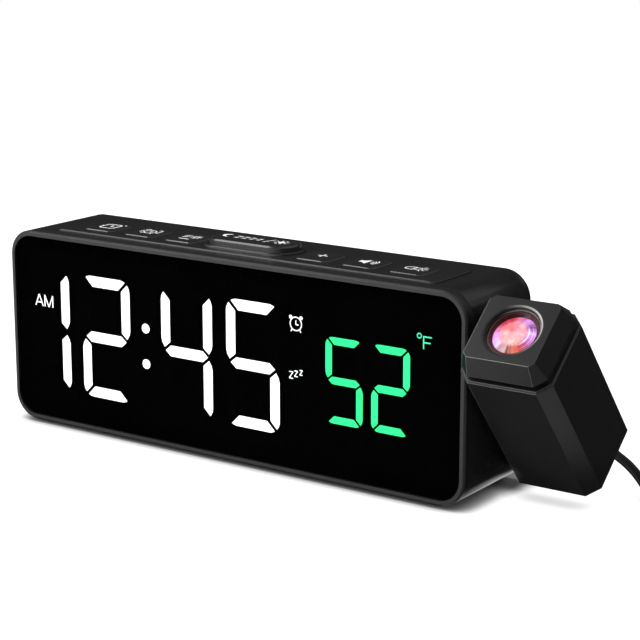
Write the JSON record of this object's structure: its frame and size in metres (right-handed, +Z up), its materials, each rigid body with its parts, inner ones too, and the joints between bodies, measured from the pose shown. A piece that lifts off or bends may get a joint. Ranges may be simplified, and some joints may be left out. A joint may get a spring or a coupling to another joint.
{
  "type": "projection alarm clock",
  "caption": "Wide rounded-box alarm clock with a tinted digital display, top keys, a snooze bar and a swivelling projector head on its right side.",
  "frame": {"origin": "centre of the underside of the anti-slip pad, on the table", "axes": "+X along the clock's width to its projector head, +Y to its back, +Z up; the display faces -Y"},
  "size_m": [0.308, 0.0948, 0.0701],
  "materials": {
    "casing_plastic": "fine satin texture",
    "frame_plastic": "polished, with bright edges",
    "pad_rubber": "matte",
    "tinted_window": "glossy smoke tint",
    "mask_plastic": "matte black",
    "white_light_guide": "milky, lit from behind",
    "green_light_guide": "milky green, lit from behind",
    "dark_light_guide": "unlit, smoke tinted",
    "circuit_board": "green solder mask",
    "led_body": "clear resin",
    "cable_sheath": "satin",
    "chip_plastic": "moulded",
    "plated_steel": "plated",
    "dark_screw": "blackened",
    "cell_steel": "satin",
    "turned_aluminium": "turned",
    "keypad_plastic": "fine satin texture",
    "key_plastic": "satin, printed pictograms",
    "snooze_plastic": "satin, printed pictograms",
    "plunger_plastic": "moulded",
    "head_plastic": "fine satin texture",
    "barrel_plastic": "matte black",
    "lens_glass": "coated",
    "panel_glass": "masked film",
    "washer_brass": "stamped",
    "lead_sheath": "flexible",
    "cord_plastic": "moulded",
    "cord_sheath": "flexible"
  },
  "bodies": {
    "clock": {"main_casing": "casing_plastic", "front_frame": "frame_plastic", "rear_cover": "casing_plastic", "cover_screws": "dark_screw", "antislip_pad": "pad_rubber", "display_window": "tinted_window", "display_mask": "mask_plastic", "time_digits": "white_light_guide", "temperature_digits": "green_light_guide", "unlit_segments": "dark_light_guide", "indicator_icons": "white_light_guide", "temperature_unit": "green_light_guide", "display_board": "circuit_board", "display_leds": "led_body", "ribbon_cable": "cable_sheath", "main_board": "circuit_board", "board_chips": "chip_plastic", "board_screws": "plated_steel", "buzzer": "chip_plastic", "battery_holder": "chip_plastic", "coin_cell": "cell_steel", "battery_door": "casing_plastic", "battery_door_screw": "plated_steel", "dc_jack": "chip_plastic", "swivel_bush": "turned_aluminium", "keypad_plate": "keypad_plastic", "key_board": "circuit_board", "key_switches": "chip_plastic", "dc_plug": "cord_plastic", "power_cord": "cord_sheath", "cord_coil": "cord_sheath", "usb_plug": "cord_plastic", "usb_shell": "plated_steel"},
    "projector_head": {"projector_housing": "head_plastic", "projector_cap": "head_plastic", "lens_barrel": "barrel_plastic", "front_lens": "lens_glass", "rear_lens": "lens_glass", "image_panel": "panel_glass", "lamp": "led_body", "lamp_board": "circuit_board", "swivel_shaft": "turned_aluminium", "friction_washer": "washer_brass", "shaft_nut": "plated_steel", "projector_lead": "lead_sheath"},
    "clock_key": {"clock_key": "key_plastic", "clock_key_plunger": "plunger_plastic"},
    "alarm_key": {"alarm_key": "key_plastic", "alarm_key_plunger": "plunger_plastic"},
    "mode_key": {"mode_key": "key_plastic", "mode_key_plunger": "plunger_plastic"},
    "plus_key": {"plus_key": "key_plastic", "plus_key_plunger": "plunger_plastic"},
    "volume_key": {"volume_key": "key_plastic", "volume_key_plunger": "plunger_plastic"},
    "projector_key": {"projector_key": "key_plastic", "projector_key_plunger": "plunger_plastic"},
    "snooze_bar": {"snooze_bar": "snooze_plastic", "snooze_plunger": "plunger_plastic"}
  },
  "joints": [
    {"name": "projector_tilt", "type": "hinge", "parent": "clock", "child": "projector_head", "pos_m": [0.0906, 0, 0.0335], "axis": [1, 0, 0], "range_deg": [-130.3, 49.7]},
    {"name": "clock_key_press", "type": "slide", "parent": "clock", "child": "clock_key", "axis": [0, 0, -1], "range_m": [0, 0.0005], "stiffness_N_per_m": 1600, "springref_m": -0.0002},
    {"name": "alarm_key_press", "type": "slide", "parent": "clock", "child": "alarm_key", "axis": [0, 0, -1], "range_m": [0, 0.0005], "stiffness_N_per_m": 1600, "springref_m": -0.0002},
    {"name": "mode_key_press", "type": "slide", "parent": "clock", "child": "mode_key", "axis": [0, 0, -1], "range_m": [0, 0.0005], "stiffness_N_per_m": 1600, "springref_m": -0.0002},
    {"name": "plus_key_press", "type": "slide", "parent": "clock", "child": "plus_key", "axis": [0, 0, -1], "range_m": [0, 0.0005], "stiffness_N_per_m": 1600, "springref_m": -0.0002},
    {"name": "volume_key_press", "type": "slide", "parent": "clock", "child": "volume_key", "axis": [0, 0, -1], "range_m": [0, 0.0005], "stiffness_N_per_m": 1600, "springref_m": -0.0002},
    {"name": "projector_key_press", "type": "slide", "parent": "clock", "child": "projector_key", "axis": [0, 0, -1], "range_m": [0, 0.0005], "stiffness_N_per_m": 1600, "springref_m": -0.0002},
    {"name": "snooze_bar_press", "type": "slide", "parent": "clock", "child": "snooze_bar", "axis": [0, 0, -1], "range_m": [0, 0.0005], "stiffness_N_per_m": 1600, "springref_m": -0.0002}
  ]
}
